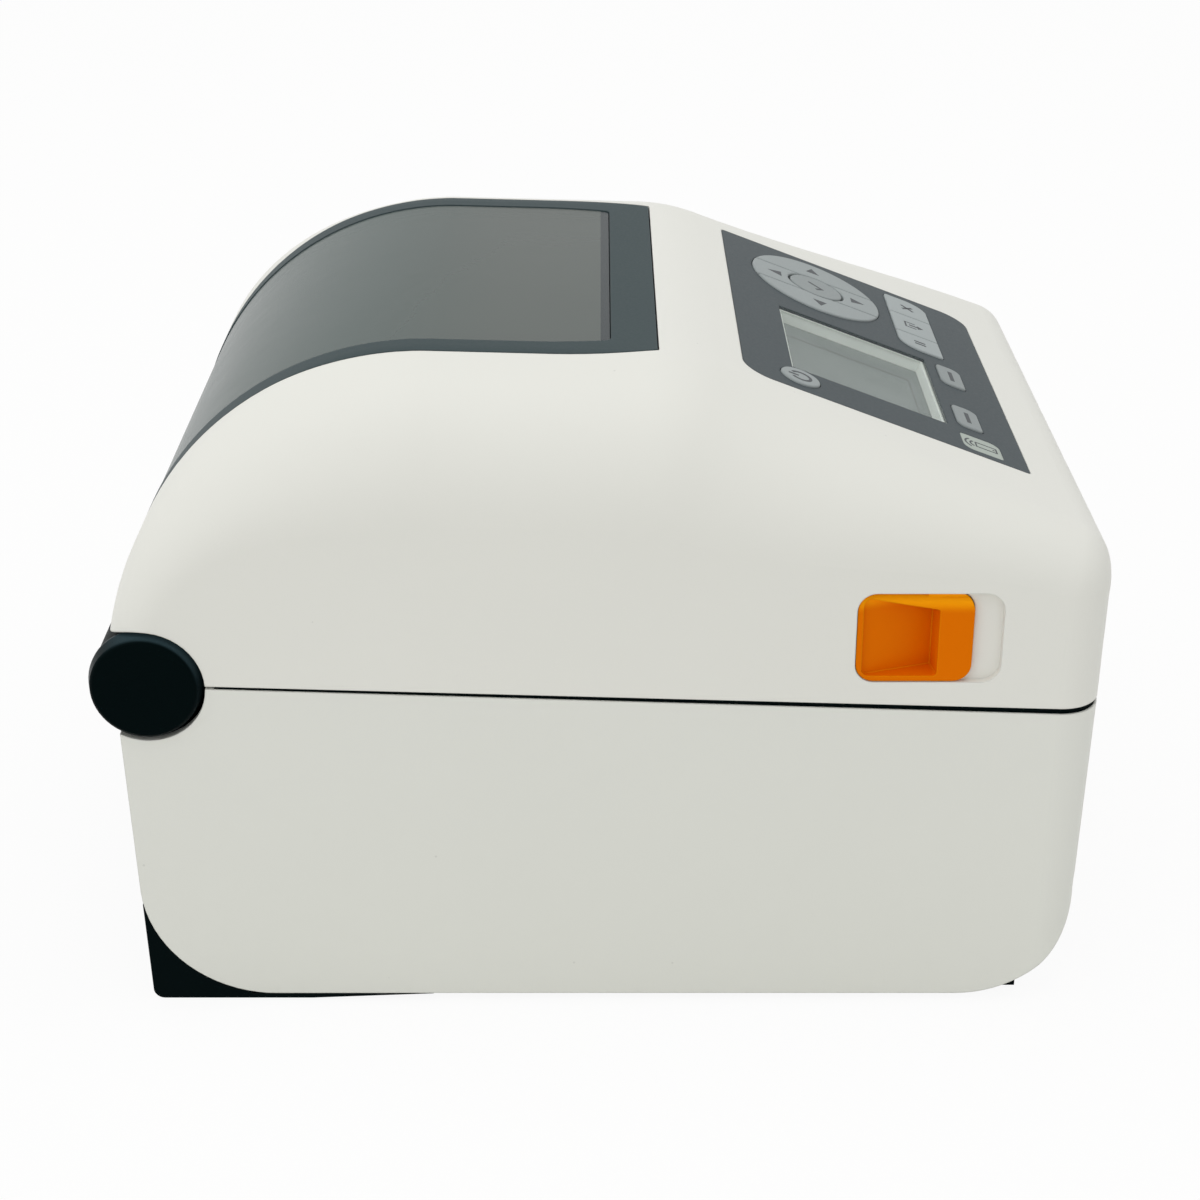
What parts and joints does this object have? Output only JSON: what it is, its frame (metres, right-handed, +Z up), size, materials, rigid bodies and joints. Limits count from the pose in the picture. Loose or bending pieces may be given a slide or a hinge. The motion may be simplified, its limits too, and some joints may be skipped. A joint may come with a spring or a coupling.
{
  "type": "desktop label printer",
  "caption": "Desktop direct-thermal label printer: hinged white clamshell with smoked window, sloping display and key panel, side latches, self-centring roll holders and geared platen.",
  "frame": {"origin": "under the middle of the footprint, on the surface the feet rest on", "axes": "+X to the operator's right, front of the printer towards -Y, +Z up"},
  "size_m": [0.177, 0.221, 0.1497],
  "materials": {
    "housing": "fine matte moulded",
    "dark_plastic": "matte moulded",
    "frame_grey": "satin moulded",
    "smoked_pane": "clear polished",
    "key_grey": "satin rubberised",
    "pale_plastic": "satin moulded",
    "clear_lens": "polished",
    "display": "polished",
    "latch_orange": "satin moulded",
    "rubber": "matte",
    "steel": "machined",
    "aluminium": "machined",
    "board": "solder mask",
    "gear_plastic": "moulded",
    "brass": "plain"
  },
  "bodies": {
    "base": {"base_shell": "housing", "bottom_tray": "dark_plastic", "inner_rim": "dark_plastic", "rubber_feet": "rubber", "tray_screws": "steel", "hinge_pin": "steel", "hinge_caps": "dark_plastic", "port_board": "board", "power_jack": "dark_plastic", "usb_device_port": "steel", "usb_host_port": "steel", "ethernet_port": "dark_plastic", "serial_port": "steel", "media_tub": "dark_plastic", "main_board": "board", "drive_motor": "steel", "platen_bearings": "gear_plastic", "front_bezel": "dark_plastic"},
    "cover": {"top_cover": "housing", "window_frame": "frame_grey", "window": "smoked_pane", "cover_frame": "dark_plastic", "control_panel": "frame_grey", "tag_plate": "key_grey", "lcd_lens": "clear_lens", "lcd_surround": "pale_plastic", "lcd_glass": "display", "panel_board": "board", "key_switches": "dark_plastic", "head_pivot": "steel", "head_springs": "steel", "tear_bar": "steel"},
    "head": {"print_head": "aluminium", "head_bracket": "steel"},
    "latch_left": {"latch_left": "latch_orange", "latch_hook_left": "dark_plastic"},
    "latch_right": {"latch_right": "latch_orange", "latch_hook_right": "dark_plastic"},
    "platen": {"platen_shaft": "steel", "platen_roller": "rubber", "platen_gear": "gear_plastic"},
    "idler": {"idler_gear": "gear_plastic"},
    "pinion": {"motor_shaft": "steel", "motor_pinion": "brass"},
    "holder_left": {"roll_holder_left": "frame_grey"},
    "holder_right": {"roll_holder_right": "frame_grey"},
    "holder_gear": {"holder_pinion": "gear_plastic"},
    "sensor": {"media_sensor": "frame_grey"},
    "key_power": {"key_power": "key_grey"},
    "key_up": {"key_up": "key_grey"},
    "key_down": {"key_down": "key_grey"},
    "key_left": {"key_left": "key_grey"},
    "key_right": {"key_right": "key_grey"},
    "key_select": {"key_select": "key_grey"},
    "key_pause": {"key_pause": "key_grey"},
    "key_feed": {"key_feed": "key_grey"},
    "key_cancel": {"key_cancel": "key_grey"},
    "key_soft_left": {"key_soft_left": "key_grey"},
    "key_soft_right": {"key_soft_right": "key_grey"}
  },
  "joints": [
    {"name": "cover_hinge", "type": "hinge", "parent": "base", "child": "cover", "pos_m": [0, 0.098, 0.082], "axis": [-1, 0, 0], "range_deg": [0, 95]},
    {"name": "head_tip", "type": "hinge", "parent": "cover", "child": "head", "pos_m": [0, -0.068, 0.096], "axis": [-1, 0, 0], "range_deg": [0, 3], "stiffness_Nm_per_rad": 3, "springref_deg": -8.59, "deforming": ["head_springs"]},
    {"name": "platen_spin", "type": "hinge", "parent": "base", "child": "platen", "pos_m": [0, -0.093, 0.0693], "axis": [1, 0, 0], "continuous": true},
    {"name": "idler_spin", "type": "hinge", "parent": "base", "child": "idler", "pos_m": [0.07275, -0.0822, 0.04118], "axis": [1, 0, 0], "continuous": true},
    {"name": "pinion_spin", "type": "hinge", "parent": "base", "child": "pinion", "pos_m": [0.07275, -0.062, 0.028], "axis": [1, 0, 0], "continuous": true},
    {"name": "holder_left_slide", "type": "slide", "parent": "base", "child": "holder_left", "axis": [1, 0, 0], "range_m": [0, 0.043]},
    {"name": "holder_right_slide", "type": "slide", "parent": "base", "child": "holder_right", "axis": [-1, 0, 0], "range_m": [0, 0.043]},
    {"name": "holder_gear_spin", "type": "hinge", "parent": "base", "child": "holder_gear", "pos_m": [0, -0.06, 0.059], "axis": [0, 0, 1], "range_deg": [-2, 415]},
    {"name": "sensor_slide", "type": "slide", "parent": "base", "child": "sensor", "axis": [1, 0, 0], "range_m": [-0.046, 0.046]},
    {"name": "latch_left_slide", "type": "slide", "parent": "cover", "child": "latch_left", "axis": [0, -1, 0], "range_m": [0, 0.0055], "stiffness_N_per_m": 150},
    {"name": "latch_right_slide", "type": "slide", "parent": "cover", "child": "latch_right", "axis": [0, -1, 0], "range_m": [0, 0.0055], "stiffness_N_per_m": 150},
    {"name": "key_power_press", "type": "slide", "parent": "cover", "child": "key_power", "axis": [0, 0.3584, -0.9336], "range_m": [0, 0.0006], "stiffness_N_per_m": 200},
    {"name": "key_up_press", "type": "slide", "parent": "cover", "child": "key_up", "axis": [0, 0.3584, -0.9336], "range_m": [0, 0.0006], "stiffness_N_per_m": 200},
    {"name": "key_down_press", "type": "slide", "parent": "cover", "child": "key_down", "axis": [0, 0.3584, -0.9336], "range_m": [0, 0.0006], "stiffness_N_per_m": 200},
    {"name": "key_left_press", "type": "slide", "parent": "cover", "child": "key_left", "axis": [0, 0.3584, -0.9336], "range_m": [0, 0.0006], "stiffness_N_per_m": 200},
    {"name": "key_right_press", "type": "slide", "parent": "cover", "child": "key_right", "axis": [0, 0.3584, -0.9336], "range_m": [0, 0.0006], "stiffness_N_per_m": 200},
    {"name": "key_select_press", "type": "slide", "parent": "cover", "child": "key_select", "axis": [0, 0.3584, -0.9336], "range_m": [0, 0.0006], "stiffness_N_per_m": 200},
    {"name": "key_pause_press", "type": "slide", "parent": "cover", "child": "key_pause", "axis": [0, 0.3584, -0.9336], "range_m": [0, 0.0006], "stiffness_N_per_m": 200},
    {"name": "key_feed_press", "type": "slide", "parent": "cover", "child": "key_feed", "axis": [0, 0.3584, -0.9336], "range_m": [0, 0.0006], "stiffness_N_per_m": 200},
    {"name": "key_cancel_press", "type": "slide", "parent": "cover", "child": "key_cancel", "axis": [0, 0.3584, -0.9336], "range_m": [0, 0.0006], "stiffness_N_per_m": 200},
    {"name": "key_soft_left_press", "type": "slide", "parent": "cover", "child": "key_soft_left", "axis": [0, 0.3584, -0.9336], "range_m": [0, 0.0006], "stiffness_N_per_m": 200},
    {"name": "key_soft_right_press", "type": "slide", "parent": "cover", "child": "key_soft_right", "axis": [0, 0.3584, -0.9336], "range_m": [0, 0.0006], "stiffness_N_per_m": 200}
  ],
  "couplings": [
    {"joint": "idler_spin", "follows": "platen_spin", "ratio": -0.66667},
    {"joint": "pinion_spin", "follows": "platen_spin", "ratio": 2},
    {"joint": "holder_right_slide", "follows": "holder_left_slide", "ratio": 1},
    {"joint": "holder_gear_spin", "follows": "holder_left_slide", "rad_per_m": 166.67}
  ]
}
